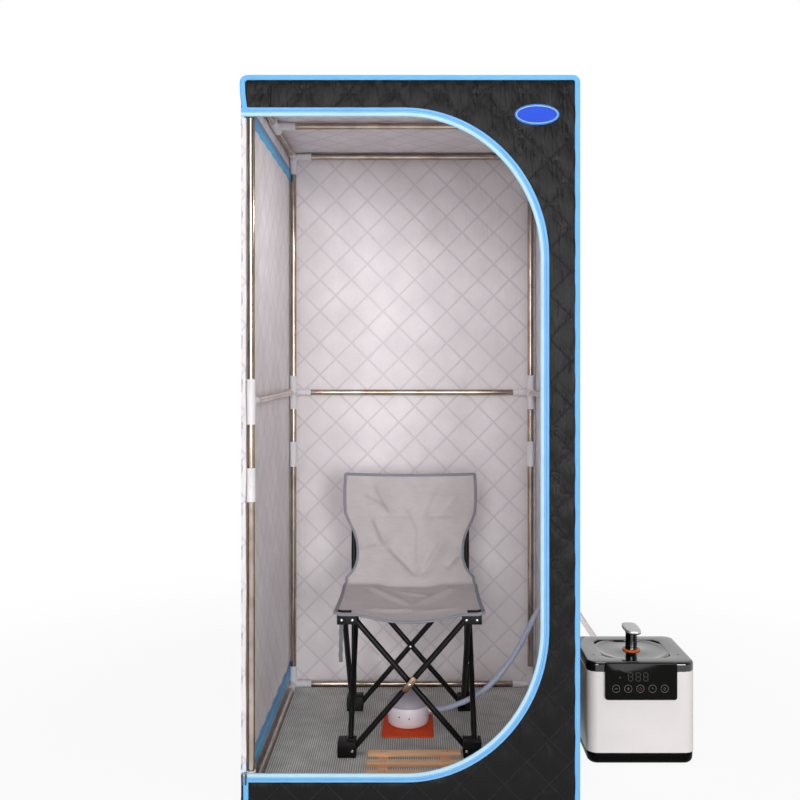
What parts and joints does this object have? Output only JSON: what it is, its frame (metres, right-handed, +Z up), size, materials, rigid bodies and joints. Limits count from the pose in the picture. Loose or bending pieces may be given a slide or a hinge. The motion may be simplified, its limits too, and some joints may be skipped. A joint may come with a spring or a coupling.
{
  "type": "portable steam sauna",
  "caption": "Portable steam sauna: quilted tent on a tube frame with a folding camp chair, footboard, diffuser cup on a pad, and a steamer feeding it through a hose.",
  "frame": {"origin": "on the floor, at the centre of the tent's base, under the floor mat", "axes": "X to the right as the doorway is faced, Y from the doorway to the back, Z up"},
  "size_m": [1.1928, 0.84, 1.8],
  "materials": {
    "quilted_cover": "quilted satin",
    "ribbed_mat": "ribbed matt",
    "steel_tube": "polished",
    "white_fitting": "satin",
    "black_tube": "semi gloss",
    "black_nylon": "moulded",
    "chair_cloth": "woven",
    "white_shell": "satin",
    "black_gloss": "gloss",
    "stainless": "brushed",
    "bare_aluminium": "cast",
    "clear_hose": "translucent",
    "cup_white": "satin",
    "cap_grey": "satin",
    "orange_felt": "matt",
    "pine": "bare"
  },
  "bodies": {
    "cabin": {"front_panel": "quilted_cover", "left_wall": "quilted_cover", "right_wall": "quilted_cover", "back_wall": "quilted_cover", "roof_panel": "quilted_cover", "floor_mat": "ribbed_mat", "post_front_left": "steel_tube", "post_front_right": "steel_tube", "post_rear_left": "steel_tube", "post_rear_right": "steel_tube", "top_corner_front_left": "white_fitting", "top_corner_front_right": "white_fitting", "top_corner_rear_left": "white_fitting", "top_corner_rear_right": "white_fitting", "bottom_corner_front_left": "white_fitting", "bottom_corner_front_right": "white_fitting", "bottom_corner_rear_left": "white_fitting", "bottom_corner_rear_right": "white_fitting", "top_rail_front": "steel_tube", "top_rail_rear": "steel_tube", "top_rail_left": "steel_tube", "top_rail_right": "steel_tube", "bottom_rail_front": "steel_tube", "bottom_rail_rear": "steel_tube", "bottom_rail_left": "steel_tube", "bottom_rail_right": "steel_tube", "mid_rail_left": "steel_tube", "mid_rail_right": "steel_tube", "mid_rail_rear": "steel_tube", "roof_crossbar": "steel_tube", "steamer_base": "black_gloss", "steamer_body": "white_shell", "steamer_deck": "black_gloss", "steamer_pot": "stainless", "steamer_heater": "bare_aluminium", "steamer_keypad": "black_gloss", "steam_hose": "clear_hose", "diffuser_cup": "cup_white", "heat_pad": "orange_felt", "footboard": "pine"},
    "door": {"door_flap": "quilted_cover"},
    "lid": {"steamer_lid": "black_gloss"},
    "cap": {"diffuser_cap": "cap_grey"},
    "foot_front_left": {"chair_foot_front_left": "black_nylon"},
    "foot_front_right": {"chair_foot_front_right": "black_nylon"},
    "post_rear_left": {"chair_post_rear_left": "black_tube"},
    "post_rear_right": {"chair_post_rear_right": "black_tube"},
    "bracket_front_left": {"chair_bracket_front_left": "black_nylon", "chair_seat": "chair_cloth"},
    "bracket_front_right": {"chair_bracket_front_right": "black_nylon"},
    "bracket_rear_left": {"chair_bracket_rear_left": "black_nylon"},
    "bracket_rear_right": {"chair_bracket_rear_right": "black_nylon"},
    "bar_front_1": {"chair_bar_front_1": "black_tube"},
    "bar_front_2": {"chair_bar_front_2": "black_tube"},
    "bar_left_1": {"chair_bar_left_1": "black_tube"},
    "bar_left_2": {"chair_bar_left_2": "black_tube"},
    "bar_right_1": {"chair_bar_right_1": "black_tube"},
    "bar_right_2": {"chair_bar_right_2": "black_tube"},
    "bar_rear_1": {"chair_bar_rear_1": "black_tube"},
    "bar_rear_2": {"chair_bar_rear_2": "black_tube"}
  },
  "joints": [
    {"name": "door_swing", "type": "hinge", "parent": "cabin", "child": "door", "pos_m": [-0.4155, -0.42, 0.9], "axis": [0, 0, 1], "range_deg": [0, 270]},
    {"name": "lid_lift", "type": "slide", "parent": "cabin", "child": "lid", "axis": [0, 0, 1], "range_m": [0, 0.1]},
    {"name": "cap_lift", "type": "slide", "parent": "cabin", "child": "cap", "axis": [0, 0, 1], "range_m": [0, 0.08]},
    {"name": "chair_lift", "type": "slide", "parent": "cabin", "child": "foot_front_left", "axis": [0, 0, 1], "range_m": [0, 0.4], "deforming": ["chair_seat"]},
    {"name": "fold_front_1", "type": "hinge", "parent": "foot_front_left", "child": "bar_front_1", "pos_m": [-0.1615, -0.15515, 0.0225], "axis": [0, -1, 0], "range_deg": [0, 34.5]},
    {"name": "fold_front_2", "type": "hinge", "parent": "bar_front_1", "child": "bar_front_2", "pos_m": [-0.0045, -0.13885, 0.203], "axis": [0, -1, 0], "range_deg": [-69, 0]},
    {"name": "fold_foot_front_right", "type": "hinge", "parent": "bar_front_2", "child": "foot_front_right", "pos_m": [0.1525, -0.13885, 0.0225], "axis": [0, -1, 0], "range_deg": [0, 34.5]},
    {"name": "fold_bracket_front_left", "type": "hinge", "parent": "bar_front_2", "child": "bracket_front_left", "pos_m": [-0.1615, -0.13885, 0.3835], "axis": [0, -1, 0], "range_deg": [0, 34.5]},
    {"name": "fold_bracket_front_right", "type": "hinge", "parent": "bar_front_1", "child": "bracket_front_right", "pos_m": [0.1525, -0.15515, 0.3835], "axis": [0, -1, 0], "range_deg": [-34.5, 0]},
    {"name": "fold_left_1", "type": "hinge", "parent": "foot_front_left", "child": "bar_left_1", "pos_m": [-0.16935, -0.131, 0.0225], "axis": [1, 0, 0], "range_deg": [0, 34.5]},
    {"name": "fold_left_2", "type": "hinge", "parent": "bar_left_1", "child": "bar_left_2", "pos_m": [-0.18565, 0.026, 0.203], "axis": [1, 0, 0], "range_deg": [-69, 0]},
    {"name": "fold_post_rear_left", "type": "hinge", "parent": "bar_left_2", "child": "post_rear_left", "pos_m": [-0.18565, 0.183, 0.0225], "axis": [1, 0, 0], "range_deg": [0, 34.5]},
    {"name": "fold_bracket_rear_left", "type": "hinge", "parent": "bar_left_1", "child": "bracket_rear_left", "pos_m": [-0.16935, 0.183, 0.3835], "axis": [1, 0, 0], "range_deg": [-34.5, 0]},
    {"name": "fold_right_1", "type": "hinge", "parent": "foot_front_right", "child": "bar_right_1", "pos_m": [0.17665, -0.131, 0.0225], "axis": [1, 0, 0], "range_deg": [0, 34.5]},
    {"name": "fold_right_2", "type": "hinge", "parent": "bar_right_1", "child": "bar_right_2", "pos_m": [0.16035, 0.026, 0.203], "axis": [1, 0, 0], "range_deg": [-69, 0]},
    {"name": "fold_post_rear_right", "type": "hinge", "parent": "bar_right_2", "child": "post_rear_right", "pos_m": [0.16035, 0.183, 0.0225], "axis": [1, 0, 0], "range_deg": [0, 34.5]},
    {"name": "fold_bracket_rear_right", "type": "hinge", "parent": "bar_right_1", "child": "bracket_rear_right", "pos_m": [0.17665, 0.183, 0.3835], "axis": [1, 0, 0], "range_deg": [-34.5, 0]},
    {"name": "fold_rear_1", "type": "hinge", "parent": "post_rear_left", "child": "bar_rear_1", "pos_m": [-0.1615, 0.19085, 0.0225], "axis": [0, -1, 0], "range_deg": [0, 34.5]},
    {"name": "fold_rear_2", "type": "hinge", "parent": "bar_rear_1", "child": "bar_rear_2", "pos_m": [-0.0045, 0.20715, 0.203], "axis": [0, -1, 0], "range_deg": [-69, 0]}
  ],
  "couplings": [
    {"joint": "fold_front_1", "follows": "chair_lift", "rad_per_m": 1.4835},
    {"joint": "fold_front_2", "follows": "chair_lift", "rad_per_m": -2.9671},
    {"joint": "fold_foot_front_right", "follows": "chair_lift", "rad_per_m": 1.4835},
    {"joint": "fold_bracket_front_left", "follows": "chair_lift", "rad_per_m": 1.4835},
    {"joint": "fold_bracket_front_right", "follows": "chair_lift", "rad_per_m": -1.4835},
    {"joint": "fold_left_1", "follows": "chair_lift", "rad_per_m": 1.4835},
    {"joint": "fold_left_2", "follows": "chair_lift", "rad_per_m": -2.9671},
    {"joint": "fold_post_rear_left", "follows": "chair_lift", "rad_per_m": 1.4835},
    {"joint": "fold_bracket_rear_left", "follows": "chair_lift", "rad_per_m": -1.4835},
    {"joint": "fold_right_1", "follows": "chair_lift", "rad_per_m": 1.4835},
    {"joint": "fold_right_2", "follows": "chair_lift", "rad_per_m": -2.9671},
    {"joint": "fold_post_rear_right", "follows": "chair_lift", "rad_per_m": 1.4835},
    {"joint": "fold_bracket_rear_right", "follows": "chair_lift", "rad_per_m": -1.4835},
    {"joint": "fold_rear_1", "follows": "chair_lift", "rad_per_m": 1.4835},
    {"joint": "fold_rear_2", "follows": "chair_lift", "rad_per_m": -2.9671}
  ]
}
